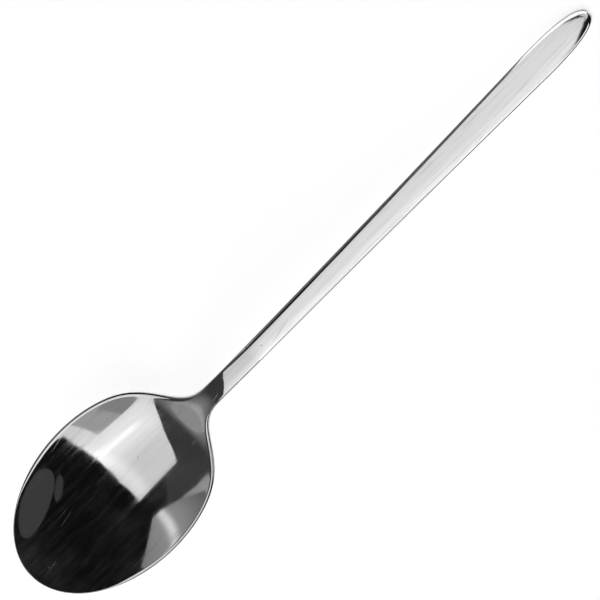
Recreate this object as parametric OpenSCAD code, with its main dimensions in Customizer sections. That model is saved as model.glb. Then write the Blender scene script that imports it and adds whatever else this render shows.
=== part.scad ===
// Teaspoon pressed from one stainless steel blank.
// Every skin is a height over the plan: a station runs along the length from the bowl's tip,
// and each station has a half width, an edge height, a dish depth, a crown and a thickness.
// Lengths are in millimetres. The bowl points to -X, the handle to +X, and the spoon rests on Z = 0.

/* [Overall] */
// Length from the bowl's tip to the end of the handle
overall_length = 140; // [132:1:150]

/* [Bowl outline] */
// Full width of the bowl
bowl_width = 28.8; // [25:0.1:32]
// Distance from the bowl's tip to its widest station
bowl_widest_at = 21.4; // [20:0.1:24]
// Distance from the tip to the middle of the shoulders, where the bowl draws in to the neck
shoulder_at = 39.65; // [38.5:0.05:41]
// Length over which the shoulders turn
shoulder_run = 1.9; // [1.5:0.05:2.2]

/* [Bowl dish] */
// Depth of the dish below its rim at the widest station
dish_depth = 4.75; // [4.65:0.05:5.1]
// How far the deepest place leans from the widest station towards the heel, 0 for even
dish_lean = 0.69; // [0.6:0.01:0.8]
// Distance from the tip to the middle of the heel, where the dish runs out
heel_at = 40.6; // [40.1:0.05:41]
// Length over which the dish runs out at the heel
heel_run = 2.6; // [2.3:0.1:3]
// Height of the rim at the tip
rim_tip_height = 8.6; // [8.4:0.05:9.2]
// Lowest height of the rim, beside the heel
rim_low_height = 6; // [5.75:0.05:6.1]
// Distance from the tip to the lowest place of the rim
rim_low_at = 34.4; // [32:0.1:37]

/* [Neck] */
// Narrowest full width, just behind the bowl
neck_width = 3.5; // [3.2:0.05:4.4]
// Distance from the tip to the middle of the rise from the rim to the handle
neck_at = 47.2; // [46.6:0.1:48]
// Length over which the neck rises
neck_run = 3.4; // [3.1:0.05:3.8]

/* [Handle] */
// Greatest full width, close to the end
handle_width = 5.65; // [4.8:0.05:7]
// Length of the rounded end
end_length = 14; // [10:0.5:20]
// Roundness of the end in plan, 2 for an ellipse and more for a blunter end
end_roundness = 2.5; // [2:0.1:3]
// Height of the handle's upper edge at its end
end_height = 0.85; // [0.7:0.05:1]
// Downward slope of the handle at its end, in degrees
end_slope = 7.2; // [6.8:0.1:7.6]
// Growth of the handle's slope per millimetre towards the neck, which sweeps it up
handle_sweep = 0.00035; // [0.0002:0.00001:0.0004]
// Height of the rounded top over the upper edges
crown_height = 0.3; // [0.15:0.01:0.4]

/* [Sheet] */
// Thickness of the bowl
bowl_thickness = 1.1; // [1:0.05:1.3]
// Thickness at the neck
neck_thickness = 2.2; // [1.8:0.05:2.4]
// Thickness at the handle's end
end_thickness = 1.5; // [1.3:0.05:1.7]
// Width of the easing along the upper edge of the bowl's rim
rim_easing = 0.7; // [0.4:0.05:0.7]
// Width of the easing along the handle's upper edges
handle_easing = 0.35; // [0.3:0.05:0.5]
// Width of the easing at the handle's very end
end_easing = 0.6; // [0.5:0.05:0.9]
// Outward fall of an eased edge where it meets the upright side, as drop over run
edge_fall = 0.85; // [0.8:0.05:1.1]

/* [Hidden] */

// Flat cuts square to the length, where the named regions meet
bowl_cut = 41;
neck_cut = 54;
terminal_length = 22;
terminal_cut = overall_length - terminal_length;

// Stations and widthwise steps that the regions are drawn with
tip_stations = 16;
bowl_stations = 16;
neck_stations = 13;
stem_stations = 22;
terminal_stations = 4;
end_stations = 10;
inner_steps = 18;
edge_steps = 5;

// Sizes worked out from the dimensions above
bowl_half = bowl_width / 2;
neck_half = neck_width / 2;
handle_half = handle_width / 2;
end_from = overall_length - end_length;
// The stem starts to widen here, and grows with this power of the distance
widen_from = 44;
widen_power = 1.6;
// The sheet changes from the bowl's thickness to the neck's around here
thicken_at = 42;
thicken_run = 2;
// The crown starts on the neck's rise, and fades with this power of the width along the rounded end
crown_from = neck_at - 0.7;
crown_run = 2.2;
crown_fade = 0.4;
// The easing grows with this power of the distance along the rounded end
end_easing_power = 4;
// The lower edges are eased over this share of the upper easing
lower_easing_share = 0.5;
// Least added fall of an easing, where the skin already falls steeply outward
least_fall = 0.05;
// Least share of the oval's width that the dish keeps behind the heel
least_oval = 0.35;
// Smallest half width that is drawn beside a pole, and the step that slopes are measured with
pole_gap = 0.02;
slope_step = 0.002;
// Share of the way in from the edge that the easing may take at a narrow station
easing_limit = 0.9;
steel = [0.78, 0.78, 0.79];

// Smooth step from 0 to 1 around zero
function rise(u) = 1 / (1 + exp(-u));
function clamp(u, low, high) = min(max(u, low), high);

// Distance from the widest station, as a share of the tip's length
function bowl_share(x) = (x - bowl_widest_at) / bowl_widest_at;

// Half width of the oval that the dish is pressed to: an ellipse at the tip, then a parabola
function oval_half_at(x) =
    let (q = bowl_share(x))
    bowl_half * (q < 0 ? sqrt(max(1 - q * q, 0)) : max(1 - q * q / 2, least_oval));

// Half width of the bowl's outline alone: the oval, drawn in at the shoulders
function bowl_half_at(x) =
    oval_half_at(x) * (x < bowl_widest_at ? 1 : rise((shoulder_at - x) / shoulder_run));

// Half width of the handle alone, before its end is rounded
function handle_half_at(x) =
    let (way = max(x - widen_from, 0) / (end_from - widen_from))
    neck_half + (handle_half - neck_half) * pow(way, widen_power);

// Distance along the rounded end, from 0 to 1, and the share of the width that is left there
function end_way(x) = clamp((x - end_from) / end_length, 0, 1);
function end_share(x) = pow(max(1 - pow(end_way(x), end_roundness), 0), 1 / end_roundness);

function half_width(x) =
    (bowl_half_at(x) + handle_half_at(x) * rise((x - shoulder_at) / shoulder_run)) * end_share(x);

// Side view: height of the rim, height of the handle's upper edge, and the rise between them
function rim_height(x) =
    rim_low_height + (rim_tip_height - rim_low_height) * pow((x - rim_low_at) / rim_low_at, 2);
function handle_height(x) =
    let (left = overall_length - x)
    end_height + tan(end_slope) * left + handle_sweep / 2 * left * left;
function edge_height(x) =
    let (s = rise((x - neck_at) / neck_run))
    rim_height(x) * (1 - s) + handle_height(x) * s;

// Depth of the dish on the centre line
function dish_at(x) =
    let (q = bowl_share(x))
    dish_depth * (q < 0 ? 1 - q * q : pow(max(1 - q * q / 2, 0), 2))
        * (1 + dish_lean * q) * rise((heel_at - x) / heel_run);

// Height of the rounded top over the handle's edges
function crown_at(x) =
    crown_height * pow(end_share(x), crown_fade) * rise((x - crown_from) / crown_run);

// Thickness of the sheet, thin in the bowl and thickest at the neck
function handle_thickness(x) =
    let (way = clamp((x - neck_cut) / (overall_length - neck_cut), 0, 1))
    neck_thickness + (end_thickness - neck_thickness) * way;
function thickness(x) =
    let (s = rise((x - thicken_at) / thicken_run))
    bowl_thickness * (1 - s) + handle_thickness(x) * s;

// Bed that both skins follow: the edge height, sunk by a dish that is a parabola across the oval
function bed(x, y) =
    edge_height(x) - dish_at(x) * (1 - pow(y / oval_half_at(x), 2));

// Upper and lower skins before the edges are eased; only the upper one is crowned
function upper_skin(x, y) = bed(x, y) + crown_at(x) * (1 - pow(y / half_width(x), 2));
function lower_skin(x, y) = bed(x, y) + crown_at(x) - thickness(x);

// Slope of the outline in plan, and how square it runs to the width: 1 along the sides, 0 at a pole
function before(x) = max(x - slope_step, 0);
function after(x) = min(x + slope_step, overall_length);
function outline_slope(x) = (half_width(after(x)) - half_width(before(x))) / (after(x) - before(x));
function outline_facing(x) = 1 / sqrt(1 + pow(outline_slope(x), 2));

// Rise of the upper skin towards the edge, square to the outline
function rim_slope(x) =
    let (w = half_width(x))
    let (along = (bed(after(x), w) - bed(before(x), w)) / (after(x) - before(x)))
    let (across = 2 * dish_at(x) * w / pow(oval_half_at(x), 2) - 2 * crown_at(x) / w)
    outline_facing(x) * (across - outline_slope(x) * along);

// Width of the easing, and how far it takes the skins in at a gap from the edge: a parabola
function easing(x) =
    let (s = rise((x - thicken_at) / thicken_run))
    rim_easing * (1 - s) + handle_easing * s
        + (end_easing - handle_easing) * pow(end_way(x), end_easing_power);
function eased(width, fall, gap) = width / 2 * fall * pow(1 - min(gap / width, 1), 2);
function upper_eased(x, gap) = eased(easing(x), max(edge_fall + rim_slope(x), least_fall), gap);
function lower_eased(x, gap) = eased(easing(x) * lower_easing_share, edge_fall, gap);

// Distances in from the edge at one station, across the easing
function edge_gaps(x) =
    let (deepest = half_width(x) * outline_facing(x) / 2)
    let (reach = min(easing(x), easing_limit * deepest))
    [for (k = [0:edge_steps]) reach * k / edge_steps];

// Places across one half of a station, from the edge to the middle
function half_places(x) =
    let (w = half_width(x), f = outline_facing(x))
    let (edge = [for (g = edge_gaps(x)) sqrt(max(w * w - 2 * w * g / f, 0))])
    let (inner = edge[edge_steps])
    concat(edge, [for (k = [1:inner_steps / 2]) inner * (1 - k / (inner_steps / 2))]);

// Height of the upper (side 1) or lower (side -1) skin; the underside is worn flat where it rests
function skin_height(x, y, side) =
    let (w = half_width(x), gap = max((w * w - y * y) * outline_facing(x) / (2 * w), 0))
    max(side > 0 ? upper_skin(x, y) - upper_eased(x, gap) : lower_skin(x, y) + lower_eased(x, gap), 0);

// One closed ring of points: over the top from right to left, and back underneath
function ring(x) =
    let (half = half_places(x), n = len(half) - 1)
    let (places = concat([for (k = [0:n]) -half[k]], [for (k = [n - 1:-1:0]) half[k]]))
    concat(
        [for (k = [0:2 * n]) point(x, places[k], 1)],
        [for (k = [2 * n:-1:0]) point(x, places[k], -1)]
    );
function point(x, y, side) = [x - overall_length / 2, y, skin_height(x, y, side)];

top_steps = 2 * edge_steps + inner_steps;
ring_size = 2 * (top_steps + 1);

// Skin between neighbouring rings, two triangles to a cell
function skin_faces(rings) =
    [for (i = [0:rings - 2], j = [0:ring_size - 1])
        let (a = i * ring_size + j, b = i * ring_size + (j + 1) % ring_size)
        each [[a, b, b + ring_size], [a, b + ring_size, a + ring_size]]];

// Flat cut across a ring that starts at point s, as strips between its top and bottom points
function cut_faces(s, flip) =
    [for (k = [0:top_steps - 1])
        let (a = s + k, b = a + 1, d = s + ring_size - 1 - k, c = d - 1)
        each [for (t = [[a, d, c], [a, c, b]]) flip ? [t[2], t[1], t[0]] : t]];

// Fan from a ring that starts at point s to a single pole
function pole_faces(s, pole, flip) =
    [for (j = [0:ring_size - 1])
        let (a = s + j, b = s + (j + 1) % ring_size)
        flip ? [b, a, pole] : [a, b, pole]];

// Solid through the given stations; a pole closes an end where its height is given
module region(stations, first_pole, last_pole) {
    rings = len(stations);
    last_start = (rings - 1) * ring_size;
    points = [for (x = stations) each ring(x)];
    first_index = rings * ring_size;
    last_index = first_index + len(first_pole);
    polyhedron(
        points = concat(points, first_pole, last_pole),
        faces = concat(
            skin_faces(rings),
            len(first_pole) > 0 ? pole_faces(0, first_index, true) : cut_faces(0, false),
            len(last_pole) > 0 ? pole_faces(last_start, last_index, false) : cut_faces(last_start, true)
        )
    );
}

// Evenly spaced stations, both ends included
function even(from, to, steps) = [for (k = [0:steps]) from + (to - from) * k / steps];

// Point that closes the bowl's tip or the handle's end, halfway up the upright side of a near station
function pole_at(x, near) =
    let (w = half_width(near))
    [[x - overall_length / 2, 0, (skin_height(near, w, 1) + skin_height(near, w, -1)) / 2]];

module bowl() {
    turn = acos(1 - pole_gap / bowl_widest_at);
    tip = [for (a = even(turn, 90, tip_stations)) bowl_widest_at * (1 - cos(a))];
    body = even(bowl_widest_at, bowl_cut, bowl_stations);
    color(steel)
        region(concat([for (k = [0:tip_stations - 1]) tip[k]], body), pole_at(0, tip[0]), []);
}

module neck() {
    color(steel)
        region(even(bowl_cut, neck_cut, neck_stations), [], []);
}

module stem() {
    color(steel)
        region(even(neck_cut, terminal_cut, stem_stations), [], []);
}

module terminal() {
    turn = acos(pole_gap / end_length);
    straight = even(terminal_cut, end_from, terminal_stations);
    round_end = [for (k = [1:end_stations]) end_from + end_length * sin(turn * k / end_stations)];
    color(steel)
        region(concat(straight, round_end), [], pole_at(overall_length, round_end[end_stations - 1]));
}

bowl();
neck();
stem();
terminal();
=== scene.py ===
"""Teaspoon: the dressed model of a pressed and mirror polished steel spoon.

Lengths are metres in the part's own frame: +X runs from the bowl's tip to the handle's end, +Y is the
spoon's left, +Z is up and the spoon rests on z = 0.
"""
import logging
import math
from dataclasses import dataclass, field
from enum import Enum

import bpy
import numpy as np
from mathutils import Matrix, Vector


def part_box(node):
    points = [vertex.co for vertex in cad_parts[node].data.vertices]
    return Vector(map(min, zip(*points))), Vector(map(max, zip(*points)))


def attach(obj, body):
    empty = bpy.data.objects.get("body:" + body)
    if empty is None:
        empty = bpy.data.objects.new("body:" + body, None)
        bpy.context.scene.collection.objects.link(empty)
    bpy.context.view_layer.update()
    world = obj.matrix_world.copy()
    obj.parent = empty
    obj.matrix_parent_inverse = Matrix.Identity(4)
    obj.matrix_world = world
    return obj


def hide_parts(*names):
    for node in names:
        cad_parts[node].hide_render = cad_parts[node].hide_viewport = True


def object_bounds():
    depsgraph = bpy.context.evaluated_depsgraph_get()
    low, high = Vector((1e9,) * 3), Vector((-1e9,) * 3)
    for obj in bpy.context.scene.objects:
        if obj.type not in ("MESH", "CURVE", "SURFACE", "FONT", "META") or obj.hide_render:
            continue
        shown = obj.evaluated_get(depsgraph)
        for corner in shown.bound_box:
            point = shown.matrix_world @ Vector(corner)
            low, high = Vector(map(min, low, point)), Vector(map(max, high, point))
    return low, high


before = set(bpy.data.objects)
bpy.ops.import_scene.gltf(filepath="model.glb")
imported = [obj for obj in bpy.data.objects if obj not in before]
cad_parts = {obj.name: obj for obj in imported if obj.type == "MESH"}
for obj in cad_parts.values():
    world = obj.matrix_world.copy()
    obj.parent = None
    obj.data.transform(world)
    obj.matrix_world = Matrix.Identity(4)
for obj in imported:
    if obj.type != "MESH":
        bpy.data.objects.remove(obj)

LOG = logging.getLogger("teaspoon")
CAD_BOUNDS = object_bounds()
BODY = "root"
MILLIMETRE = 0.001
SMALLEST = 1e-9


class Region(Enum):
    """CAD nodes of the spoon, in order along its length."""

    BOWL = "bowl"
    NECK = "neck"
    STEM = "stem"
    TERMINAL = "terminal"


class Slot(Enum):
    """Material slots of the record."""

    STEEL = "polished_steel"


class Grain(Enum):
    """Way the polishing wheel's lines run: lines per metre along X, Y and Z."""

    ACROSS = (2600.0, 70.0, 70.0)
    ALONG = (45.0, 3400.0, 700.0)


def rise(way: np.ndarray) -> np.ndarray:
    """Smooth step from 0 to 1, a logistic curve of the way."""
    return 1.0 / (1.0 + np.exp(-way))


@dataclass(frozen=True)
class SpoonForm:
    """Shape of the spoon's skin as formulas of the station x from the bowl's tip and the place y across.

    The bowl's oval and the handle meet at the shoulder in the outline, at the heel in the dish and at the
    neck in the edge line. An easing is the width over which an edge is rounded off.
    """

    length: float
    bowl_width: float
    bowl_widest_at: float = 21.4 * MILLIMETRE
    shoulder_at: float = 39.65 * MILLIMETRE
    shoulder_run: float = 1.9 * MILLIMETRE
    dish_depth: float = 4.75 * MILLIMETRE
    dish_lean: float = 0.69
    heel_at: float = 40.6 * MILLIMETRE
    heel_run: float = 2.6 * MILLIMETRE
    rim_tip_height: float = 8.6 * MILLIMETRE
    rim_low_height: float = 6.0 * MILLIMETRE
    rim_low_at: float = 34.4 * MILLIMETRE
    neck_width: float = 3.5 * MILLIMETRE
    neck_at: float = 47.2 * MILLIMETRE
    neck_run: float = 3.4 * MILLIMETRE
    handle_width: float = 5.65 * MILLIMETRE
    widen_from: float = 44.0 * MILLIMETRE
    widen_power: float = 1.6
    end_length: float = 14.0 * MILLIMETRE
    end_roundness: float = 2.5
    end_height: float = 0.8 * MILLIMETRE
    end_slope: float = math.tan(math.radians(7.2))
    handle_sweep: float = 0.00035 / MILLIMETRE
    crown_height: float = 0.3 * MILLIMETRE
    crown_from: float = 46.5 * MILLIMETRE
    crown_run: float = 2.2 * MILLIMETRE
    crown_fade: float = 0.4
    bowl_thickness: float = 1.1 * MILLIMETRE
    neck_thickness: float = 2.2 * MILLIMETRE
    end_thickness: float = 1.5 * MILLIMETRE
    thicken_at: float = 42.0 * MILLIMETRE
    thicken_run: float = 2.0 * MILLIMETRE
    thin_from: float = 54.0 * MILLIMETRE
    tip_easing: float = 0.14 * MILLIMETRE
    rim_easing: float = 0.7 * MILLIMETRE
    rim_easing_at: float = 10.0 * MILLIMETRE
    rim_easing_run: float = 1.5 * MILLIMETRE
    handle_easing: float = 0.35 * MILLIMETRE
    end_easing: float = 0.6 * MILLIMETRE
    end_easing_power: float = 2.0
    lower_easing_share: float = 0.5
    edge_fall: float = 0.85
    least_fall: float = 0.05
    least_oval: float = 0.35
    slope_step: float = 0.002 * MILLIMETRE

    def end_way(self, x: np.ndarray) -> np.ndarray:
        """Way through the rounded handle end, 0 where it starts and 1 at the very end."""
        return np.clip((x - self.length + self.end_length) / self.end_length, 0.0, 1.0)

    def end_share(self, x: np.ndarray) -> np.ndarray:
        """Share of the handle's width left by the superelliptic rounding of its end."""
        return np.maximum(1.0 - self.end_way(x) ** self.end_roundness, 0.0) ** (1.0 / self.end_roundness)

    def oval_share(self, x: np.ndarray) -> np.ndarray:
        """Station from the bowl's widest place, as a share of that place's distance from the tip."""
        return (x - self.bowl_widest_at) / self.bowl_widest_at

    def oval_half(self, x: np.ndarray) -> np.ndarray:
        """Half width of the bowl's oval: an ellipse before its widest place and a parabola after it.

        Args:
            x: Stations from the bowl's tip.

        Returns:
            Half widths, never below the least oval share.
        """
        way = self.oval_share(x)
        ellipse = np.sqrt(np.maximum(1.0 - way**2, SMALLEST))
        parabola = np.maximum(1.0 - way**2 / 2.0, self.least_oval)
        return self.bowl_width / 2.0 * np.where(way < 0.0, ellipse, parabola)

    def handle_half(self, x: np.ndarray) -> np.ndarray:
        """Half width of the handle, growing by a power of the way from the neck to the end.

        Args:
            x: Stations from the bowl's tip.

        Returns:
            Half widths before the end is rounded.
        """
        run = self.length - self.end_length - self.widen_from
        way = np.maximum(x - self.widen_from, 0.0) / run
        growth = (self.handle_width - self.neck_width) * way**self.widen_power
        return (self.neck_width + growth) / 2.0

    def half_width(self, x: np.ndarray) -> np.ndarray:
        """Half width of the outline: the oval closing and the handle opening at the shoulder.

        Args:
            x: Stations from the bowl's tip.

        Returns:
            Half widths of the whole spoon.
        """
        opening = rise((x - self.shoulder_at) / self.shoulder_run)
        closing = np.where(x < self.bowl_widest_at, 1.0, rise((self.shoulder_at - x) / self.shoulder_run))
        return (self.oval_half(x) * closing + self.handle_half(x) * opening) * self.end_share(x)

    def edge_height(self, x: np.ndarray) -> np.ndarray:
        """Height of the edge line: the bowl's curved rim joined to the sloping handle at the neck.

        Args:
            x: Stations from the bowl's tip.

        Returns:
            Heights above the floor.
        """
        rim_curve = ((x - self.rim_low_at) / self.rim_low_at) ** 2
        rim = self.rim_low_height + (self.rim_tip_height - self.rim_low_height) * rim_curve
        left = self.length - x
        handle = self.end_height + self.end_slope * left + self.handle_sweep / 2.0 * left**2
        share = rise((x - self.neck_at) / self.neck_run)
        return rim * (1.0 - share) + handle * share

    def dish(self, x: np.ndarray) -> np.ndarray:
        """Depth of the bowl on its middle line, deepest towards the heel.

        Args:
            x: Stations from the bowl's tip.

        Returns:
            Depths below the edge line.
        """
        way = self.oval_share(x)
        front = 1.0 - way**2
        back = np.maximum(1.0 - way**2 / 2.0, 0.0) ** 2
        heel = rise((self.heel_at - x) / self.heel_run)
        return self.dish_depth * np.where(way < 0.0, front, back) * (1.0 + self.dish_lean * way) * heel

    def crown(self, x: np.ndarray) -> np.ndarray:
        """Rise of the handle's middle over its edges."""
        start = rise((x - self.crown_from) / self.crown_run)
        return self.crown_height * self.end_share(x) ** self.crown_fade * start

    def thickness(self, x: np.ndarray) -> np.ndarray:
        """Thickness of the sheet: thin in the bowl, thickest at the neck, thinner towards the end.

        Args:
            x: Stations from the bowl's tip.

        Returns:
            Thicknesses on the middle line.
        """
        share = rise((x - self.thicken_at) / self.thicken_run)
        way = np.clip((x - self.thin_from) / (self.length - self.thin_from), 0.0, 1.0)
        handle = self.neck_thickness + (self.end_thickness - self.neck_thickness) * way
        return self.bowl_thickness * (1.0 - share) + handle * share

    def bed(self, x: np.ndarray, y: np.ndarray) -> np.ndarray:
        """Height of the dished sheet before crown and edges: a parabola across the oval."""
        return self.edge_height(x) - self.dish(x) * (1.0 - (y / self.oval_half(x)) ** 2)

    def either_side(self, x: np.ndarray) -> tuple[np.ndarray, np.ndarray]:
        """Stations just before and just after a station, both on the spoon."""
        return np.maximum(x - self.slope_step, 0.0), np.minimum(x + self.slope_step, self.length)

    def outline_slope(self, x: np.ndarray) -> np.ndarray:
        """Slope of the outline, from half widths just before and after the station."""
        before, after = self.either_side(x)
        return (self.half_width(after) - self.half_width(before)) / (after - before)

    def facing(self, x: np.ndarray) -> np.ndarray:
        """Share of a step across that runs square to the outline."""
        return 1.0 / np.sqrt(1.0 + self.outline_slope(x) ** 2)

    def rim_slope(self, x: np.ndarray) -> np.ndarray:
        """Slope of the upper skin at the edge, measured square to the outline.

        Args:
            x: Stations from the bowl's tip.

        Returns:
            Slopes, positive where the skin climbs towards the edge.
        """
        half = self.half_width(x)
        before, after = self.either_side(x)
        along = (self.bed(after, half) - self.bed(before, half)) / (after - before)
        across = 2.0 * self.dish(x) * half / self.oval_half(x) ** 2 - 2.0 * self.crown(x) / half
        return self.facing(x) * (across - self.outline_slope(x) * along)

    def easing(self, x: np.ndarray) -> np.ndarray:
        """Width of the eased upper edge: least round the bowl's tip, more where the handle's end turns.

        Args:
            x: Stations from the bowl's tip.

        Returns:
            Widths measured square to the outline.
        """
        share = rise((x - self.thicken_at) / self.thicken_run)
        along_rim = rise((x - self.rim_easing_at) / self.rim_easing_run)
        rim = self.tip_easing + (self.rim_easing - self.tip_easing) * along_rim
        turn = np.where(self.end_way(x) > 0.0, (1.0 - self.facing(x)) ** self.end_easing_power, 0.0)
        growth = (self.end_easing - self.handle_easing) * turn
        return rim * (1.0 - share) + self.handle_easing * share + growth

    def across(self, x: np.ndarray, gap: np.ndarray) -> np.ndarray:
        """Place across that lies the given gap inside the outline."""
        half = self.half_width(x)
        return np.sqrt(np.maximum(half**2 - 2.0 * half * gap / self.facing(x), 0.0))

    def skin(self, x: np.ndarray, y: np.ndarray, upper: bool) -> np.ndarray:
        """Height of the finished skin: the bed and the crown, less the sheet below, with eased edges.

        The easing takes off a parabola that starts at its own width inside the outline.

        Args:
            x: Stations from the bowl's tip.
            y: Places across.
            upper: True for the upper skin, False for the lower one.

        Returns:
            Heights above the floor.
        """
        half = self.half_width(x)
        gap = np.maximum((half**2 - y**2) * self.facing(x) / (2.0 * half), 0.0)
        width = self.easing(x) * (1.0 if upper else self.lower_easing_share)
        taken = width / 2.0 * (1.0 - np.minimum(gap / width, 1.0)) ** 2
        if upper:
            fall = np.maximum(self.edge_fall + self.rim_slope(x), self.least_fall)
            height = self.bed(x, y) + self.crown(x) * (1.0 - (y / half) ** 2) - taken * fall
        else:
            height = self.bed(x, y) + self.crown(x) - self.thickness(x) + taken * self.edge_fall
        return np.maximum(height, 0.0)


@dataclass
class Wiring:
    """Adds nodes to one node tree and joins them; plain numbers are set on the sockets themselves."""

    tree: bpy.types.NodeTree

    def add(self, kind: str, **settings: object) -> bpy.types.Node:
        """A new node of that kind with its settings.

        Args:
            kind: Blender's node type name.
            **settings: Attributes of the node.

        Returns:
            The node.
        """
        node = self.tree.nodes.new(kind)
        for name, value in settings.items():
            setattr(node, name, value)
        return node

    def feed(self, socket: bpy.types.NodeSocket, value: object) -> None:
        """Joins an output to a socket, or sets a number or vector on it.

        Args:
            socket: The input socket.
            value: An output socket, a number or a vector.
        """
        if isinstance(value, bpy.types.NodeSocket):
            self.tree.links.new(value, socket)
        else:
            socket.default_value = value

    def math(self, operation: str, first: object, second: object = 0.0) -> bpy.types.NodeSocket:
        """Result of a two-input math node.

        Args:
            operation: Blender's name of the operation.
            first: First number or socket.
            second: Second number or socket.

        Returns:
            The output socket.
        """
        node = self.add("ShaderNodeMath", operation=operation)
        self.feed(node.inputs[0], first)
        self.feed(node.inputs[1], second)
        return node.outputs[0]

    def total(self, *values: object) -> bpy.types.NodeSocket:
        """Sum of several numbers or sockets.

        Args:
            *values: Numbers or sockets, two or more.

        Returns:
            The output socket.
        """
        result = values[0]
        for value in values[1:]:
            result = self.math("ADD", result, value)
        return result

    def step(self, value: object, low: float, high: float, end: float = 1.0) -> bpy.types.NodeSocket:
        """Smooth step of a value.

        Args:
            value: Number or socket to test.
            low: Value that gives 0.
            high: Value that gives the end value.
            end: Result at and past high.

        Returns:
            The output socket.
        """
        node = self.add("ShaderNodeMapRange", interpolation_type="SMOOTHSTEP", clamp=True)
        for name, number in (("From Min", low), ("From Max", high), ("To Min", 0.0), ("To Max", end)):
            node.inputs[name].default_value = number
        self.feed(node.inputs["Value"], value)
        return node.outputs["Result"]

    def dot(self, vector: bpy.types.NodeSocket, direction: np.ndarray) -> bpy.types.NodeSocket:
        """Share of a vector along a fixed direction.

        Args:
            vector: Socket of the vector.
            direction: The fixed direction.

        Returns:
            The output socket.
        """
        node = self.add("ShaderNodeVectorMath", operation="DOT_PRODUCT")
        self.feed(node.inputs[0], vector)
        self.feed(node.inputs[1], tuple(float(part) for part in direction))
        return node.outputs["Value"]

    def scale(self, vector: bpy.types.NodeSocket, factors: object) -> bpy.types.NodeSocket:
        """Vector with each part multiplied by its own factor.

        Args:
            vector: Socket of the vector.
            factors: Three numbers, or a socket of them.

        Returns:
            The output socket.
        """
        node = self.add("ShaderNodeVectorMath", operation="MULTIPLY")
        self.feed(node.inputs[0], vector)
        self.feed(node.inputs[1], factors)
        return node.outputs["Vector"]

    def blend(self, share: object, first: object, second: object) -> bpy.types.NodeSocket:
        """Number part way from the first to the second value.

        Args:
            share: 0 for the first value and 1 for the second.
            first: First number or socket.
            second: Second number or socket.

        Returns:
            The output socket.
        """
        node = self.add("ShaderNodeMix", data_type="FLOAT")
        self.feed(node.inputs[0], share)
        self.feed(node.inputs[2], first)
        self.feed(node.inputs[3], second)
        return node.outputs[0]

    def noise(self, vector: bpy.types.NodeSocket, detail: float, gain: float) -> bpy.types.NodeSocket:
        """Fractal noise of a vector that is already scaled.

        Args:
            vector: Socket of the scaled vector.
            detail: Number of finer layers.
            gain: Strength of each layer against the one before it.

        Returns:
            The output socket, about 0.5 in the middle.
        """
        node = self.add("ShaderNodeTexNoise")
        self.feed(node.inputs["Vector"], vector)
        for name, number in (("Scale", 1.0), ("Detail", detail), ("Roughness", gain)):
            node.inputs[name].default_value = number
        return node.outputs["Fac"]


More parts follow.
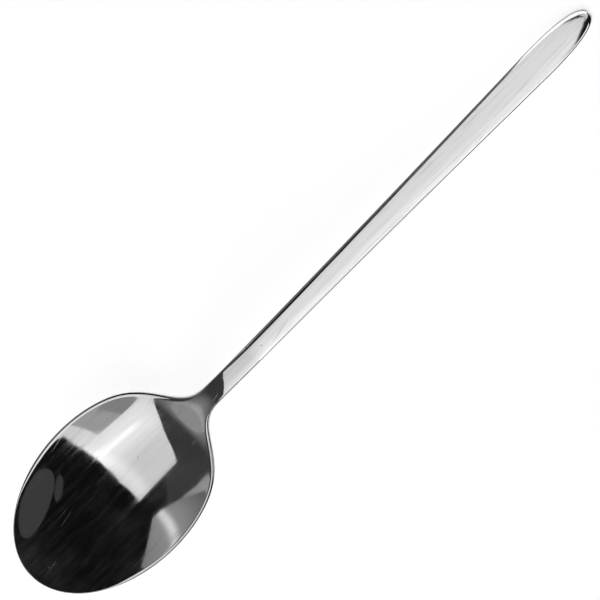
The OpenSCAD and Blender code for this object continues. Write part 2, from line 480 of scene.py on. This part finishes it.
class Effects:
    """Shader node groups for surface marks that both finishes share.

    Pitches are counts per metre, and a range gives the noise levels where a mark starts and is full.
    """

    coarse_share: tuple[float, float, float] = (0.31, 0.31, 0.31)
    thin_range: tuple[float, float] = (0.35, 0.75)
    broad_range: tuple[float, float] = (0.3, 0.75)
    smudge_pitch: tuple[float, float, float] = (110.0, 150.0, 150.0)
    smudge_range: tuple[float, float] = (0.42, 0.75)
    scratch_turn: float = math.radians(-11.0)
    scratch_pitch: tuple[float, float, float] = (55.0, 2100.0, 300.0)
    scratch_range: tuple[float, float] = (0.71, 0.77)
    speck_pitch: float = 420.0
    speck_range: tuple[float, float] = (0.075, 0.045)
    speck_choice: tuple[float, float] = (0.78, 0.8)

    def __init__(self) -> None:
        """Makes the groups once."""
        self.lines = self._polishing_lines()
        self.marks = self._handling_marks()

    @staticmethod
    def _group(name: str, inputs: dict[str, str], outputs: list[str]) -> bpy.types.NodeTree:
        """An empty group with its sockets.

        Args:
            name: Name of the group.
            inputs: Socket types by input name.
            outputs: Names of the float outputs.

        Returns:
            The node group.
        """
        group = bpy.data.node_groups.new(name, "ShaderNodeTree")
        for label, kind in inputs.items():
            group.interface.new_socket(name=label, in_out="INPUT", socket_type=kind)
        for label in outputs:
            group.interface.new_socket(name=label, in_out="OUTPUT", socket_type="NodeSocketFloat")
        return group

    def _polishing_lines(self) -> bpy.types.NodeTree:
        """Fine lines left by the polishing wheel: noise drawn out along the lines, two sizes of it.

        Returns:
            The node group, with the output Lines from 0 to 1.
        """
        inputs = {"Vector": "NodeSocketVector", "Pitch": "NodeSocketVector"}
        group = self._group("Polishing lines", inputs, ["Lines"])
        wiring = Wiring(group)
        source, target = wiring.add("NodeGroupInput"), wiring.add("NodeGroupOutput")
        fine = wiring.scale(source.outputs["Vector"], source.outputs["Pitch"])
        coarse = wiring.scale(fine, self.coarse_share)
        thin = wiring.step(wiring.noise(fine, detail=2.0, gain=0.6), *self.thin_range)
        broad = wiring.step(wiring.noise(coarse, detail=2.0, gain=0.5), *self.broad_range)
        wiring.feed(target.inputs["Lines"], wiring.math("MULTIPLY", thin, broad))
        return group

    def _handling_marks(self) -> bpy.types.NodeTree:
        """Marks of use: cloudy smudges, thin slanting scratches and scattered dust specks.

        Returns:
            The node group, with the outputs Smudges, Scratches and Specks from 0 to 1.
        """
        outputs = ["Smudges", "Scratches", "Specks"]
        group = self._group("Handling marks", {"Vector": "NodeSocketVector"}, outputs)
        wiring = Wiring(group)
        source, target = wiring.add("NodeGroupInput"), wiring.add("NodeGroupOutput")
        vector = source.outputs["Vector"]
        clouds = wiring.noise(wiring.scale(vector, self.smudge_pitch), detail=4.0, gain=0.55)
        wiring.feed(target.inputs["Smudges"], wiring.step(clouds, *self.smudge_range))
        turned = wiring.add("ShaderNodeVectorRotate", rotation_type="Z_AXIS")
        wiring.feed(turned.inputs["Vector"], vector)
        turned.inputs["Angle"].default_value = self.scratch_turn
        drawn = wiring.scale(turned.outputs["Vector"], self.scratch_pitch)
        streaks = wiring.noise(drawn, detail=1.0, gain=0.5)
        wiring.feed(target.inputs["Scratches"], wiring.step(streaks, *self.scratch_range))
        cells = wiring.add("ShaderNodeTexVoronoi", feature="F1")
        wiring.feed(cells.inputs["Vector"], vector)
        cells.inputs["Scale"].default_value = self.speck_pitch
        near = wiring.step(cells.outputs["Distance"], *self.speck_range)
        parts = wiring.add("ShaderNodeSeparateColor")
        wiring.feed(parts.inputs["Color"], cells.outputs["Color"])
        chosen = wiring.step(parts.outputs["Red"], *self.speck_choice)
        wiring.feed(target.inputs["Specks"], wiring.math("MULTIPLY", near, chosen))
        return group


@dataclass(frozen=True)
class SteelFinish:
    """Polished stainless steel with the polishing lines running one way.

    Each mark has its own shade or roughness. A film is the share of light that grease and wear scatter.
    """

    name: str
    grain: Grain
    shade: float = 0.74
    line_shade: float = 0.66
    speck_shade: float = 0.3
    roughness: float = 0.045
    line_roughness: float = 0.09
    smudge_roughness: float = 0.06
    scratch_roughness: float = 0.17
    speck_roughness: float = 0.3
    line_film: float = 0.06
    smudge_film: float = 0.05
    scratch_film: float = 0.1
    bump_height: float = 0.0004 * MILLIMETRE

    def material(self, effects: Effects) -> bpy.types.Material:
        """The finish as a material that reads Object coordinates.

        Args:
            effects: The shared node groups.

        Returns:
            The material.
        """
        material = bpy.data.materials.new(self.name)
        material.use_nodes = True
        wiring = Wiring(material.node_tree)
        shader = material.node_tree.nodes["Principled BSDF"]
        place = wiring.add("ShaderNodeTexCoord").outputs["Object"]
        lines = wiring.add("ShaderNodeGroup", node_tree=effects.lines)
        wiring.feed(lines.inputs["Vector"], place)
        wiring.feed(lines.inputs["Pitch"], self.grain.value)
        marks = wiring.add("ShaderNodeGroup", node_tree=effects.marks)
        wiring.feed(marks.inputs["Vector"], place)
        roughness = wiring.total(
            wiring.math("MULTIPLY", lines.outputs["Lines"], self.line_roughness),
            wiring.math("MULTIPLY", marks.outputs["Smudges"], self.smudge_roughness),
            wiring.math("MULTIPLY", marks.outputs["Scratches"], self.scratch_roughness),
            wiring.math("MULTIPLY", marks.outputs["Specks"], self.speck_roughness),
            self.roughness,
        )
        film = wiring.total(
            wiring.math("MULTIPLY", lines.outputs["Lines"], self.line_film),
            wiring.math("MULTIPLY", marks.outputs["Smudges"], self.smudge_film),
            wiring.math("MULTIPLY", marks.outputs["Scratches"], self.scratch_film),
        )
        polish = wiring.blend(lines.outputs["Lines"], self.shade, self.line_shade)
        shade = wiring.blend(marks.outputs["Specks"], polish, self.speck_shade)
        bump = wiring.add("ShaderNodeBump")
        bump.inputs["Strength"].default_value = 1.0
        bump.inputs["Distance"].default_value = self.bump_height
        wiring.feed(bump.inputs["Height"], lines.outputs["Lines"])
        wiring.feed(shader.inputs["Base Color"], shade)
        wiring.feed(shader.inputs["Metallic"], wiring.math("SUBTRACT", 1.0, film))
        wiring.feed(shader.inputs["Roughness"], roughness)
        wiring.feed(shader.inputs["Normal"], bump.outputs["Normal"])
        return material


@dataclass
class Spoon:
    """The whole spoon as one seamless skin, from the bowl's tip to the handle's end.

    The stretch from dense_from to dense_to, where the bowl turns up into the neck, has closer stations.
    """

    form: SpoonForm
    finish: SteelFinish
    # Darker steel on the edge faces: its low shade is painted shade, standing in for the dark outline
    # that the rim's edge mirrors.
    edge_finish_painted_dark: SteelFinish
    edge_steps: int = 5
    dense_from: float = 22.0 * MILLIMETRE
    dense_to: float = 62.0 * MILLIMETRE
    tip_count: int = 64
    dense_count: int = 130
    handle_count: int = 140
    end_count: int = 40
    inner_count: int = 48
    edge_count: int = 8
    corner: float = 0.05 * MILLIMETRE
    corner_share: float = 0.25
    reach_share: float = 0.45
    pole_gap: float = 0.02 * MILLIMETRE

    def stations(self) -> np.ndarray:
        """Stations along the spoon, closer together at both ends and round the neck.

        Returns:
            A column of stations from the bowl's tip.
        """
        form = self.form
        quarter = np.linspace(0.0, math.pi / 2.0, self.tip_count, endpoint=False)
        tip = self.pole_gap + (self.dense_from - self.pole_gap) * (1.0 - np.cos(quarter))
        dense = np.linspace(self.dense_from, self.dense_to, self.dense_count, endpoint=False)
        end_from = form.length - form.end_length
        handle = np.linspace(self.dense_to, end_from, self.handle_count, endpoint=False)
        quarter = np.linspace(0.0, math.pi / 2.0, self.end_count)
        end = end_from + (form.end_length - self.pole_gap) * np.sin(quarter)
        return np.concatenate([tip, dense, handle, end])[:, None]

    def side(self, x: np.ndarray, upper: bool) -> tuple[np.ndarray, np.ndarray]:
        """One skin from the left edge to the right edge, each edge with a small rounded corner.

        The corner is a quadratic arc between a point on the eased skin and a point on the edge's wall.

        Args:
            x: Column of stations.
            upper: True for the upper skin, False for the lower one.

        Returns:
            Places across and heights, one row per station.
        """
        form = self.form
        half, facing = form.half_width(x), form.facing(x)
        reach = np.minimum(form.easing(x), self.reach_share * half * facing)
        corner = np.minimum(self.corner, self.corner_share * reach)
        steps = np.linspace(0.0, 1.0, self.edge_count + 1)[None, :]
        edge_y = form.across(x, corner + (reach - corner) * steps)
        shares = np.linspace(1.0, -1.0, self.inner_count + 1)[None, 1:-1]
        y = np.concatenate([edge_y, edge_y[:, -1:] * shares, -edge_y[:, ::-1]], axis=1)
        z = form.skin(x, y, upper)
        rim = form.skin(x, half, upper)
        wall = rim - corner if upper else rim + corner
        arc = (z[:, :1] + 2.0 * rim + wall) / 4.0
        arc_y = form.across(x, corner / 4.0)
        y = np.concatenate([half, arc_y, y, -arc_y, -half], axis=1)
        z = np.concatenate([wall, arc, z, arc, wall], axis=1)
        return y, np.maximum(z, 0.0)

    def points(self) -> np.ndarray:
        """Rings of points round the section at every station.

        A ring runs over the upper skin from right to left and back under the lower skin.

        Returns:
            Points as an array of stations, ring places and coordinates.
        """
        x = self.stations()
        upper_y, upper_z = self.side(x, upper=True)
        lower_y, lower_z = self.side(x, upper=False)
        y = np.concatenate([upper_y[:, ::-1], lower_y], axis=1)
        z = np.concatenate([upper_z[:, ::-1], lower_z], axis=1)
        rows = np.broadcast_to(x - self.form.length / 2.0, y.shape)
        return np.stack([rows, y, z], axis=-1)

    @staticmethod
    def faces(stations: int, ring: int) -> tuple[np.ndarray, np.ndarray]:
        """Quads between neighbouring rings and triangles from the end rings to their poles.

        Args:
            stations: Number of rings.
            ring: Number of points in a ring.

        Returns:
            Quads and triangles as arrays of vertex numbers; the poles come after all ring points.
        """
        index = np.arange(stations * ring).reshape(stations, ring)
        following = np.roll(index, -1, axis=1)
        quads = np.stack([index[:-1], index[1:], following[1:], following[:-1]], axis=-1).reshape(-1, 4)
        tip = np.full(ring, stations * ring)
        first = np.stack([index[0], following[0], tip], axis=-1)
        last = np.stack([following[-1], index[-1], tip + 1], axis=-1)
        return quads, np.concatenate([first, last])

    def on_edge(self, places: np.ndarray, ring: int) -> np.ndarray:
        """Whether faces lie on the edge that the darker steel paints with shade: the upright side and the
        first steps of both skins.

        Args:
            places: Ring places of the faces; the upright sides are the last place of each skin.
            ring: Number of points in a ring.

        Returns:
            1 for faces on the edge and 0 for the others.
        """
        skin = ring // 2
        away = (places + 1) % skin
        return (np.minimum(away, skin - away) <= self.edge_steps).astype(np.int32)

    def mesh(self, effects: Effects) -> bpy.types.Mesh:
        """The closed skin with its mirror polish, and a darker steel on the edge that paints shade there.

        Args:
            effects: The shared node groups.

        Returns:
            The mesh, with smooth faces.
        """
        rings = self.points()
        quads, triangles = self.faces(*rings.shape[:2])
        tip = rings[0].mean(axis=0) * (0.0, 0.0, 1.0) - (self.form.length / 2.0, 0.0, 0.0)
        end = rings[-1].mean(axis=0) * (0.0, 0.0, 1.0) + (self.form.length / 2.0, 0.0, 0.0)
        points = np.concatenate([rings.reshape(-1, 3), tip[None], end[None]])
        corners = np.concatenate([quads.ravel(), triangles.ravel()])
        sizes = np.concatenate([np.full(len(quads), 4), np.full(len(triangles), 3)])
        mesh = bpy.data.meshes.new("spoon")
        mesh.vertices.add(len(points))
        mesh.vertices.foreach_set("co", points.astype(np.float32).ravel())
        mesh.loops.add(len(corners))
        mesh.loops.foreach_set("vertex_index", corners.astype(np.int32))
        mesh.polygons.add(len(sizes))
        mesh.polygons.foreach_set("loop_start", (np.cumsum(sizes) - sizes).astype(np.int32))
        mesh.polygons.foreach_set("use_smooth", np.ones(len(sizes), dtype=bool))
        ring = rings.shape[1]
        places = np.arange(len(sizes)) % ring
        mesh.materials.append(self.finish.material(effects))
        # The second material darkens the edge faces: painted shade for the rim's dark outline.
        mesh.materials.append(self.edge_finish_painted_dark.material(effects))
        mesh.polygons.foreach_set("material_index", self.on_edge(places, ring))
        mesh.update(calc_edges=True)
        mesh.validate()
        return mesh

    def build(self, effects: Effects) -> bpy.types.Object:
        """The spoon as a mesh object at the origin.

        Args:
            effects: The shared node groups.

        Returns:
            The object, riding on the part's body in place of its CAD nodes.
        """
        spoon = bpy.data.objects.new("spoon", self.mesh(effects))
        bpy.context.scene.collection.objects.link(spoon)
        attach(spoon, BODY)
        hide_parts(*(region.value for region in Region))
        return spoon


def heading(bearing: float, elevation: float) -> np.ndarray:
    """Unit vector towards a heading.

    Args:
        bearing: Degrees turned from -X to +Y.
        elevation: Degrees over the floor.

    Returns:
        The vector.
    """
    turn, climb = math.radians(bearing), math.radians(elevation)
    level = math.cos(climb)
    return np.array([-level * math.cos(turn), level * math.sin(turn), math.sin(climb)])


@dataclass(frozen=True)
class Panel:
    """One convex lit or shaded screen of the studio, given by the headings of its corners."""

    corners: tuple[tuple[float, float], ...]
    glow: float
    softness: float = 0.006

    def mask(self, wiring: Wiring, ray: bpy.types.NodeSocket) -> bpy.types.NodeSocket:
        """1 where a ray meets the screen: inside all the planes through neighbouring corners.

        Args:
            wiring: The world's wiring.
            ray: Direction of the ray.

        Returns:
            A socket from 0 outside to 1 inside.
        """
        points = np.array([heading(*corner) for corner in self.corners])
        middle = points.mean(axis=0)
        sides = np.cross(points, np.roll(points, -1, axis=0))
        sides = sides / np.linalg.norm(sides, axis=1, keepdims=True)
        sides = sides * np.sign(sides @ middle)[:, None]
        inside = wiring.dot(ray, sides[0])
        for side in sides[1:]:
            inside = wiring.math("MINIMUM", inside, wiring.dot(ray, side))
        return wiring.step(inside, -self.softness, self.softness)


@dataclass(frozen=True)
class Streak:
    """A glowing tube seen through a screen: a band along the great circle through two headings.

    The half width is the sine of an angle across the band, and the reach the cosine of one along it.
    """

    start: tuple[float, float]
    end: tuple[float, float]
    glow: float
    half_width: float
    reach: float

    def light(self, wiring: Wiring, ray: bpy.types.NodeSocket) -> bpy.types.NodeSocket:
        """Glow of the band, fading across it and away from its middle.

        Args:
            wiring: The world's wiring.
            ray: Direction of the ray.

        Returns:
            The radiance that the tube adds.
        """
        first, last = heading(*self.start), heading(*self.end)
        side = np.cross(first, last)
        middle = first + last
        off = wiring.math("ABSOLUTE", wiring.dot(ray, side / np.linalg.norm(side)))
        across = wiring.step(off, self.half_width, 0.0, self.glow)
        along = wiring.step(wiring.dot(ray, middle / np.linalg.norm(middle)), self.reach, 1.0)
        return wiring.math("MULTIPLY", across, along)


class Outline(Enum):
    """Outline of a card, with its share of the box round it."""

    RECTANGLE = 1.0
    ELLIPSE = math.pi / 4


@dataclass(frozen=True)
class Card:
    """A card close to the spoon, as an area lamp that only the steel mirrors."""

    name: str
    middle: tuple[float, float, float]
    size: tuple[float, float]
    turn: tuple[float, float, float]
    glow: float
    outline: Outline = Outline.RECTANGLE

    def build(self) -> bpy.types.Object:
        """The lamp, turned about X, Y and Z by so many degrees from facing straight down.

        Returns:
            The lamp, of the card's own radiance.
        """
        data = bpy.data.lights.new(self.name, "AREA")
        data.shape = self.outline.name
        data.size, data.size_y = self.size
        data.energy = self.glow * math.pi * self.size[0] * self.size[1] * self.outline.value
        lamp = bpy.data.objects.new(self.name, data)
        lamp.location = self.middle
        lamp.rotation_euler = tuple(math.radians(angle) for angle in self.turn)
        lamp.visible_camera = False
        lamp.visible_diffuse = False
        bpy.context.scene.collection.objects.link(lamp)
        return lamp


@dataclass
class Studio:
    """Dim studio with large screens round a pale floor, and small cards close to the spoon.

    The key screen stands past the bowl's tip and reaches overhead, where the handle mirrors it. The grey
    screen hangs before it on the right, the side screen stands on the left, and the gap is the dim wall
    between them. The lens ring and the glow ahead lie low past the tip and show in the heel. Rays that
    have met the steel twice see one plain grey.
    """

    base_glow: float = 0.005
    floor_half: float = 6.0
    floor_drop: float = 0.02 * MILLIMETRE
    floor_shade: float = 0.9
    floor_glow: float = 0.72
    ahead_glow: float = 0.3
    ahead_range: tuple[float, float] = (0.5, 0.7)
    ahead_height: float = 0.23
    gap: Panel = Panel(
        ((47.5, 59.5), (73, 45.5), (57.5, 28.5), (39, 10), (-6, -4.5), (-28.5, 6), (-5.5, 36.5)),
        glow=0.038,
        softness=0.025,
    )
    lens_ring: Panel = Panel(((-9.5, 4.5), (7.5, 5), (11, -8), (-14, -16)), glow=0.12, softness=0.004)
    key: tuple[Panel, ...] = (
        Panel(
            ((101, 69), (32, 44.5), (-22.5, 29.5), (-47.5, 12.5), (-69, 7.5), (-78, 27), (-82.5, 37),
             (-88, 50.5), (-98.5, 67), (-154.5, 83), (133.5, 82)),
            glow=0.78,
        ),
        Panel(((1.5, 40.5), (-12.5, 31), (-24, 20), (-41, 11), (-55.5, 23), (-1, 50.5)), glow=0.78),
        Panel(((-10.5, 33), (-25, 8.5), (-38, 8.5), (-51, 19.5), (-14.5, 40.5)), glow=0.78),
    )
    key_streaks: tuple[Streak, ...] = (
        Streak((-113.9, 56.5), (-32, 27.5), glow=0.32, half_width=0.55, reach=0.4),
        Streak((-129.6, 53.7), (-39.1, 34.9), glow=0.4, half_width=0.09, reach=0.8),
        Streak((90, 80), (-90, 60), glow=0.2, half_width=0.15, reach=0.5),
    )
    grey: Panel = Panel(
        ((-72.5, 38.5), (-36.5, 10.5), (-57, 4.5), (-66, 5.5), (-72, 9.5), (-72, 23), (-74, 31.5)),
        glow=0.42,
    )
    grey_inner: Panel = Panel(
        ((-50, 27), (-32, 10.5), (-53, 2), (-63, 8.5), (-59, 17)), glow=0.28, softness=0.01
    )
    side: tuple[Panel, ...] = (
        Panel(
            ((95.5, 45), (93, 48), (89.5, 52.5), (81, 49.5), (61.5, 33.5), (45, 8), (61.5, 11),
             (95.5, 39.5)),
            glow=0.14,
        ),
        Panel(((62, 34), (49.5, 21), (49, 9)), glow=0.33),
        Panel(((51, 22.5), (39.5, 12.5), (50.5, 7.5)), glow=0.37),
    )
    side_streaks: tuple[Streak, ...] = (
        Streak((81, 49), (76.5, 33), glow=0.2, half_width=0.4, reach=0.6),
        Streak((81, 49), (76.5, 33), glow=0.6, half_width=0.06, reach=0.93),
    )
    cards: tuple[Card, ...] = (
        Card("right card", (0.0335, -0.04, 0.042), (0.103, 0.022), (45.0, 0.0, 0.0), glow=1.35),
        Card("left end card", (0.09, 0.026, 0.0525), (0.077, 0.095), (-90.0, 0.0, -24.6), glow=1.35),
        Card("end top card", (0.105, 0.0, 0.1), (0.05, 0.05), (0.0, 19.5, 0.0), glow=0.8),
        Card(
            "leaf card",
            (-0.0587, 0.005, 0.01305),
            (0.0117, 0.00324),
            (-29.9, -32.1, -167.0),
            glow=0.048,
            outline=Outline.ELLIPSE,
        ),
        Card(
            "petal card",
            (-0.0538, 0.0027, 0.013),
            (0.003, 0.00064),
            (-30.8, -32.3, -167.5),
            glow=0.044,
            outline=Outline.ELLIPSE,
        ),
    )
    second_glow: float = 0.43
    bounce_limit: float = 1.5

    def world(self) -> bpy.types.World:
        """The studio round the object as a world of screens.

        Returns:
            The world, set on the scene.
        """
        world = bpy.data.worlds.new("studio")
        world.use_nodes = True
        wiring = Wiring(world.node_tree)
        ray = wiring.add("ShaderNodeTexCoord").outputs["Generated"]
        parts = wiring.add("ShaderNodeSeparateXYZ")
        wiring.feed(parts.inputs[0], ray)
        ahead = wiring.step(wiring.math("MULTIPLY", parts.outputs["X"], -1.0), *self.ahead_range)
        low = wiring.step(parts.outputs["Z"], self.ahead_height, 0.0, self.ahead_glow)
        soft = (self.gap, self.lens_ring)
        glow = wiring.total(
            self.base_glow,
            wiring.math("MULTIPLY", ahead, low),
            *(wiring.math("MULTIPLY", panel.mask(wiring, ray), panel.glow) for panel in soft),
        )
        tubes = wiring.total(*(streak.light(wiring, ray) for streak in self.key_streaks))
        for panel in self.key:
            glow = wiring.blend(panel.mask(wiring, ray), glow, wiring.total(panel.glow, tubes))
        inner = self.grey_inner.mask(wiring, ray)
        grey_light = wiring.blend(inner, self.grey.glow, self.grey_inner.glow)
        glow = wiring.blend(self.grey.mask(wiring, ray), glow, grey_light)
        tubes = wiring.total(*(streak.light(wiring, ray) for streak in self.side_streaks))
        for panel in self.side:
            glow = wiring.blend(panel.mask(wiring, ray), glow, wiring.total(panel.glow, tubes))
        path = wiring.add("ShaderNodeLightPath")
        later = wiring.math("GREATER_THAN", path.outputs["Glossy Depth"], self.bounce_limit)
        second = wiring.math("MULTIPLY", later, path.outputs["Is Glossy Ray"])
        glow = wiring.blend(second, glow, self.second_glow)
        glow = wiring.blend(path.outputs["Is Camera Ray"], glow, 1.0)
        background = world.node_tree.nodes["Background"]
        wiring.feed(background.inputs["Color"], glow)
        bpy.context.scene.world = world
        return world

    def floor(self) -> bpy.types.Object:
        """Pale floor that shows white to the camera and in the steel, and still takes a shadow.

        Returns:
            The floor, as part of the stage.
        """
        half = self.floor_half
        mesh = bpy.data.meshes.new("floor")
        points = [(-half, -half, 0.0), (half, -half, 0.0), (half, half, 0.0), (-half, half, 0.0)]
        mesh.from_pydata(points, [], [(0, 1, 2, 3)])
        floor = bpy.data.objects.new("floor", mesh)
        floor.location.z = -self.floor_drop
        bpy.context.scene.collection.objects.link(floor)
        material = bpy.data.materials.new("pale floor")
        material.use_nodes = True
        material.node_tree.nodes.clear()
        wiring = Wiring(material.node_tree)
        path = wiring.add("ShaderNodeLightPath")
        seen = wiring.total(path.outputs["Is Camera Ray"], path.outputs["Is Glossy Ray"])
        diffuse = wiring.add("ShaderNodeBsdfDiffuse")
        diffuse.inputs["Color"].default_value = (self.floor_shade,) * 3 + (1.0,)
        emission = wiring.add("ShaderNodeEmission")
        wiring.feed(emission.inputs["Strength"], wiring.math("MULTIPLY", seen, self.floor_glow))
        both = wiring.add("ShaderNodeAddShader")
        wiring.feed(both.inputs[0], diffuse.outputs[0])
        wiring.feed(both.inputs[1], emission.outputs[0])
        output = wiring.add("ShaderNodeOutputMaterial")
        wiring.feed(output.inputs["Surface"], both.outputs[0])
        mesh.materials.append(material)
        return floor


@dataclass(frozen=True)
class ProductCamera:
    """Camera over the handle's side that lays the spoon along the picture's diagonal."""

    form: SpoonForm
    tilt: float = math.radians(15.0)
    lean: float = math.radians(1.25)
    distance: float = 1.4
    aim: Vector = field(default_factory=lambda: Vector((0.0, 0.0, 0.005)))
    picture: float = 600.0
    sensor: float = 36.0
    tip_at: complex = 31.9 + 576.0j
    end_at: complex = 588.8 + 12.3j
    tip_height: float = 8.1 * MILLIMETRE
    end_height: float = 0.3 * MILLIMETRE
    clip_end: float = 20.0

    def build(self) -> bpy.types.Object:
        """The camera, turned and zoomed so that both ends of the spoon fall on their picture places.

        Picture places are complex numbers, with the real part to the right and the imaginary part down.

        Returns:
            The camera, set on the scene.
        """
        level, upright = math.sin(self.tilt), math.cos(self.tilt)
        back = Vector((level, upright * math.sin(self.lean), upright * math.cos(self.lean)))
        along = (Vector((1.0, 0.0, 0.0)) - back * back.x).normalized()
        over = back.cross(along)
        place = self.aim + back * self.distance

        def seen(point: Vector) -> complex:
            """Point over its depth, before the picture is turned and zoomed.

            Args:
                point: A point of the spoon.

            Returns:
                Its place in the picture plane.
            """
            away = point - place
            depth = -away.dot(back)
            return complex(away.dot(along), -away.dot(over)) / depth

        half = self.form.length / 2.0
        tip = seen(Vector((-half, 0.0, self.tip_height)))
        end = seen(Vector((half, 0.0, self.end_height)))
        zoom = (self.end_at - self.tip_at) / (end - tip)
        axis = self.tip_at - zoom * tip
        turn = zoom / abs(zoom)
        right = along * turn.real + over * turn.imag
        up = over * turn.real - along * turn.imag
        data = bpy.data.cameras.new("camera")
        data.sensor_width = self.sensor
        data.lens = abs(zoom) * self.sensor / self.picture
        data.shift_x = (self.picture / 2.0 - axis.real) / self.picture
        data.shift_y = (axis.imag - self.picture / 2.0) / self.picture
        data.clip_end = self.clip_end
        camera = bpy.data.objects.new("camera", data)
        axes = Matrix((right, up, back)).transposed().to_4x4()
        camera.matrix_world = Matrix.Translation(place) @ axes
        bpy.context.scene.collection.objects.link(camera)
        bpy.context.scene.camera = camera
        return camera


def main() -> None:
    """Builds the spoon, the studio and the camera in order."""
    logging.basicConfig(level=logging.INFO, format="%(name)s: %(message)s")
    low, high = CAD_BOUNDS
    bowl_low, bowl_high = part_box(Region.BOWL.value)
    form = SpoonForm(length=high.x - low.x, bowl_width=bowl_high.y - bowl_low.y)
    effects = Effects()
    # The edge's low shade and line shade are painted shade, darkening the rim's outline as a dark studio
    # would.
    edge = SteelFinish("ground edge", Grain.ACROSS, shade=0.32, line_shade=0.28, roughness=0.1)
    spoon = Spoon(form, SteelFinish("mirror polish", Grain.ALONG), edge)
    LOG.info("piece %s", spoon.build(effects).name)
    studio = Studio()
    LOG.info("world %s", studio.world().name)
    for card in studio.cards:
        LOG.info("lamp %s", card.build().name)
    LOG.info("stage %s", studio.floor().name)
    LOG.info("view %s", ProductCamera(form).build().name)
    bpy.context.scene.view_settings.view_transform = "Standard"


if __name__ == "__main__":
    main()
